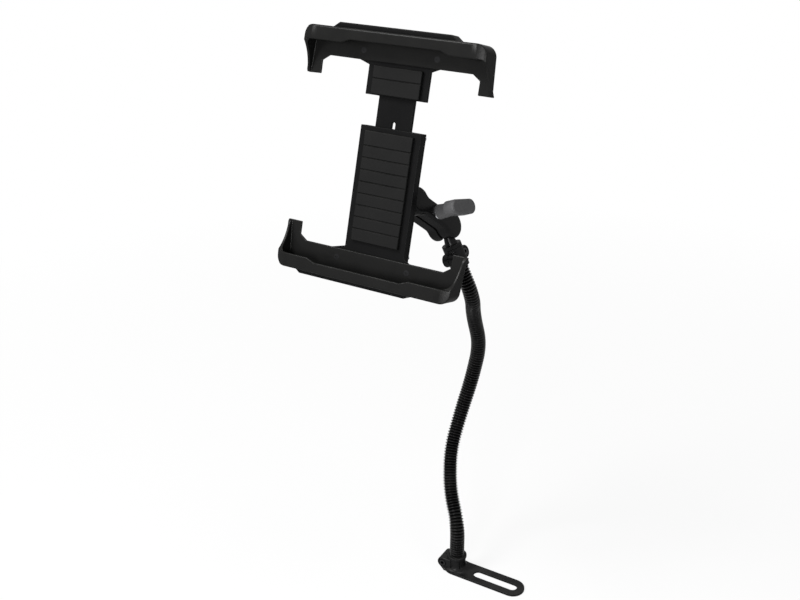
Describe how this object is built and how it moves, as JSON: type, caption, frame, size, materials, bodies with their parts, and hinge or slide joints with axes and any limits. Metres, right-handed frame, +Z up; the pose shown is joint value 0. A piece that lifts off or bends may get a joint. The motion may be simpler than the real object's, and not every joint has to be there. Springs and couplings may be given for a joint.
{
  "type": "car tablet mount",
  "caption": "Seat-bolt floor mount for a tablet: slotted plate, bent rod in a ribbed sleeve, clamping ball arm and a sprung cradle with cup ends.",
  "frame": {"origin": "on the seat plate's underside, at the middle of its bolt slot", "axes": "+Z up, away from the floor; +X along the plate, from the rod to its free end; -Y the way the tablet faces"},
  "size_m": [0.2906, 0.183, 0.6645],
  "materials": {
    "plate_black": "satin",
    "casting_black": "satin",
    "screw_steel": "satin",
    "rod_aluminium": "satin",
    "sleeve_black": "gloss",
    "ball_rubber": "matte",
    "spring_steel": "satin",
    "knob_grey": "matte",
    "insert_brass": "satin",
    "cradle_black": "matte",
    "cup_charcoal": "matte",
    "pad_rubber": "matte"
  },
  "bodies": {
    "seat_foot": {"base_plate": "plate_black", "base_clamp_screw": "screw_steel", "base_clamp_nut": "screw_steel"},
    "rod": {"flex_rod": "rod_aluminium", "ribbed_sleeve": "sleeve_black"},
    "head": {"rod_head": "casting_black", "rod_head_cap": "casting_black", "rod_head_screws": "screw_steel", "lower_ball": "ball_rubber"},
    "arm": {"arm_half_fixed": "casting_black", "arm_bolt": "screw_steel", "arm_spring": "spring_steel"},
    "arm_jaw": {"arm_half_moving": "casting_black", "arm_washer": "screw_steel"},
    "knob": {"clamp_knob": "knob_grey", "knob_insert": "insert_brass"},
    "swivel_ball": {"upper_ball": "ball_rubber"},
    "cradle": {"ball_base": "casting_black", "ball_base_screws": "screw_steel", "cradle_housing": "cradle_black", "cradle_cover": "cradle_black", "cover_screws": "screw_steel", "stop_screw": "screw_steel", "bottom_cup": "cup_charcoal", "bottom_cup_screws": "screw_steel", "lower_pad": "pad_rubber", "tension_springs": "spring_steel"},
    "slider": {"cradle_slider": "cradle_black", "top_cup": "cup_charcoal", "top_cup_screws": "screw_steel", "upper_pad": "pad_rubber"}
  },
  "joints": [
    {"name": "rod_swivel", "type": "hinge", "parent": "seat_foot", "child": "rod", "pos_m": [-0.05415, 0, 0], "axis": [0, 0, 1], "continuous": true},
    {"name": "head_swivel", "type": "hinge", "parent": "rod", "child": "head", "pos_m": [-0.08715, 0.0418, 0.40349], "axis": [-0.3814, -0.1, 0.919], "continuous": true},
    {"name": "arm_pitch", "type": "hinge", "parent": "head", "child": "arm", "pos_m": [-0.10165, 0.038, 0.43841], "axis": [0.9244, -0.0413, 0.3791], "range_deg": [-90, 12]},
    {"name": "arm_release", "type": "slide", "parent": "arm", "child": "arm_jaw", "axis": [0.9244, -0.0413, 0.3791], "range_m": [0, 0.0025], "deforming": ["arm_spring"]},
    {"name": "knob_turn", "type": "hinge", "parent": "arm_jaw", "child": "knob", "pos_m": [-0.09537, 0.01513, 0.46413], "axis": [0.9244, -0.0413, 0.3791], "range_deg": [0, 720]},
    {"name": "cradle_tilt", "type": "hinge", "parent": "arm", "child": "swivel_ball", "pos_m": [-0.11959, -0.00638, 0.47734], "axis": [0.9244, -0.0413, 0.3791], "range_deg": [-84, 16]},
    {"name": "cradle_spin", "type": "hinge", "parent": "swivel_ball", "child": "cradle", "pos_m": [-0.11959, -0.00638, 0.47734], "axis": [0, 0.9617, -0.274], "continuous": true},
    {"name": "cradle_stretch", "type": "slide", "parent": "cradle", "child": "slider", "axis": [0, 0.274, 0.9617], "range_m": [-0.025, 0.02], "deforming": ["tension_springs"]}
  ],
  "couplings": [
    {"joint": "knob_turn", "follows": "arm_release", "rad_per_m": 4947.4}
  ]
}
